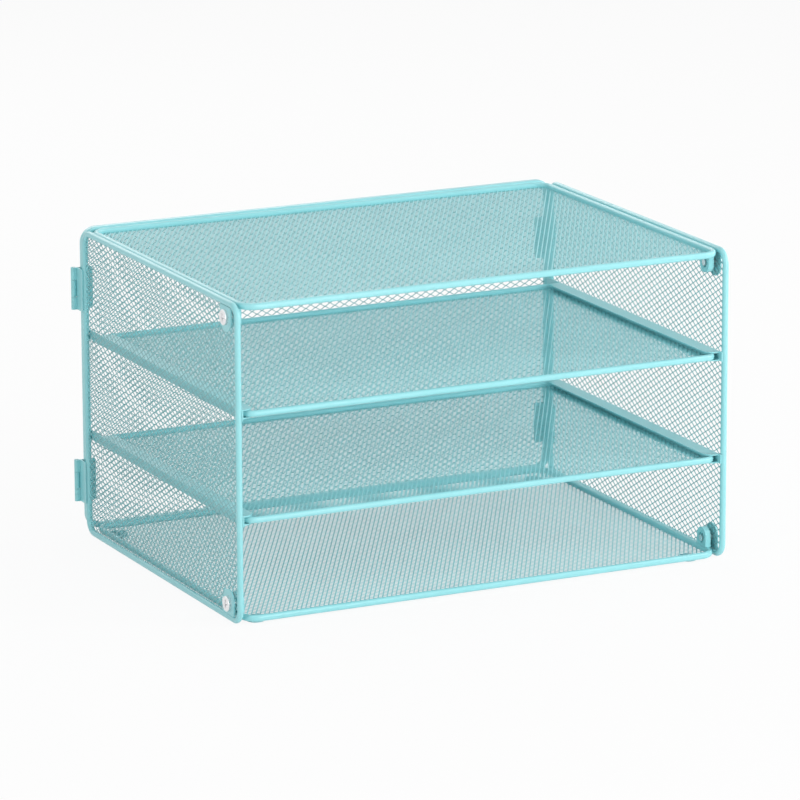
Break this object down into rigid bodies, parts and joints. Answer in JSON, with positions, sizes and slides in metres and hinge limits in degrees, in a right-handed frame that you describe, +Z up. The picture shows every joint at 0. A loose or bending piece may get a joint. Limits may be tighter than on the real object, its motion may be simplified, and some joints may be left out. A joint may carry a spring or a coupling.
{
  "type": "desk organizer",
  "caption": "Mesh steel desk organizer with a shallow tray on top and sliding trays on rails between hinged side panels.",
  "frame": {"origin": "on the desk surface under the middle of the whole part", "axes": "+Z up, the open front looks along -Y, +X to the right as seen from the front"},
  "size_m": [0.341, 0.243, 0.1975],
  "materials": {
    "frame_steel": "gloss",
    "mesh": "gloss",
    "screw_steel": "satin",
    "pin_steel": "satin",
    "foot_pad": "matte"
  },
  "bodies": {
    "frame": {"back_frame": "frame_steel", "back_mesh": "mesh", "top_panel_rim": "frame_steel", "top_panel_mesh": "mesh", "bottom_panel_rim": "frame_steel", "bottom_panel_mesh": "mesh", "left_bottom_lug": "frame_steel", "left_top_lug": "frame_steel", "right_bottom_lug": "frame_steel", "right_top_lug": "frame_steel", "left_upper_hinge_back_leaf": "frame_steel", "left_upper_hinge_pin": "pin_steel", "left_lower_hinge_back_leaf": "frame_steel", "left_lower_hinge_pin": "pin_steel", "right_upper_hinge_back_leaf": "frame_steel", "right_upper_hinge_pin": "pin_steel", "right_lower_hinge_back_leaf": "frame_steel", "right_lower_hinge_pin": "pin_steel", "front_left_foot": "foot_pad", "front_right_foot": "foot_pad", "rear_left_foot": "foot_pad", "rear_right_foot": "foot_pad"},
    "left_side": {"left_side_frame": "frame_steel", "left_side_mesh": "mesh", "left_lower_rail": "frame_steel", "left_upper_rail": "frame_steel", "left_bottom_screw_plate": "frame_steel", "left_bottom_screw": "screw_steel", "left_top_screw_plate": "frame_steel", "left_top_screw": "screw_steel", "left_upper_hinge_side_leaf": "frame_steel", "left_lower_hinge_side_leaf": "frame_steel"},
    "right_side": {"right_side_frame": "frame_steel", "right_side_mesh": "mesh", "right_lower_rail": "frame_steel", "right_upper_rail": "frame_steel", "right_bottom_screw_plate": "frame_steel", "right_bottom_screw": "screw_steel", "right_top_screw_plate": "frame_steel", "right_top_screw": "screw_steel", "right_upper_hinge_side_leaf": "frame_steel", "right_lower_hinge_side_leaf": "frame_steel"},
    "lower_tray": {"lower_tray_rim": "frame_steel", "lower_tray_mesh": "mesh"},
    "upper_tray": {"upper_tray_rim": "frame_steel", "upper_tray_mesh": "mesh"}
  },
  "joints": [
    {"name": "left_side_hinge", "type": "hinge", "parent": "frame", "child": "left_side", "pos_m": [-0.1689, 0.1199, 0.0957], "axis": [0, 0, -1], "range_deg": [0, 180]},
    {"name": "right_side_hinge", "type": "hinge", "parent": "frame", "child": "right_side", "pos_m": [0.1689, 0.1199, 0.0957], "axis": [0, 0, 1], "range_deg": [0, 180]},
    {"name": "lower_tray_slide", "type": "slide", "parent": "frame", "child": "lower_tray", "axis": [0, -1, 0], "range_m": [0, 0.16]},
    {"name": "upper_tray_slide", "type": "slide", "parent": "frame", "child": "upper_tray", "axis": [0, -1, 0], "range_m": [0, 0.16]}
  ]
}
